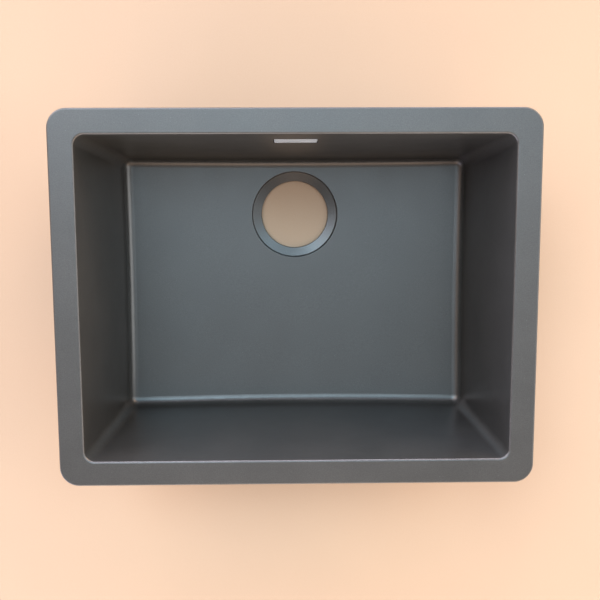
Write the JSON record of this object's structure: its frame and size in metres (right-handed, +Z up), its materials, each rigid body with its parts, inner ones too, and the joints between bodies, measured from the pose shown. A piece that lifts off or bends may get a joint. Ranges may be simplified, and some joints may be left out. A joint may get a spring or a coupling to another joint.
{
  "type": "undermount kitchen sink",
  "caption": "Rectangular undermount kitchen sink in dark stone composite, with a wide flange, an open waste hole and a slotted overflow with a pull-off metal cover.",
  "frame": {"origin": "centre of the flat underside that the bowl rests on", "axes": "+X along the longer side, +Y towards the back wall with the overflow and the waste, +Z up out of the bowl"},
  "size_m": [0.55, 0.43, 0.212],
  "materials": {
    "composite": "satin moulded stone composite, anthracite grey, fine quartz grain",
    "brushed_stainless": "satin stainless sheet",
    "spring_steel": "bright spring steel strip",
    "black_plastic": "moulded black polypropylene, fine texture",
    "housing_plastic": "moulded black polypropylene, fine texture",
    "seal_rubber": "moulded black rubber",
    "screw_steel": "plain stainless, turned and cold-formed",
    "insert_brass": "machined brass, grooved outside"
  },
  "bodies": {
    "sink": {"sink_bowl": "composite", "overflow_frame": "black_plastic", "frame_seal": "seal_rubber", "overflow_screws": "screw_steel", "housing_gasket": "seal_rubber", "overflow_housing": "housing_plastic", "captive_nuts": "screw_steel", "clip_inserts": "insert_brass"},
    "cover": {"overflow_cover": "brushed_stainless", "cover_clips": "spring_steel"}
  },
  "joints": [
    {"name": "overflow_cover_pull", "type": "slide", "parent": "sink", "child": "cover", "axis": [0, -0.9949, 0.1011], "range_m": [0, 0.04]}
  ]
}
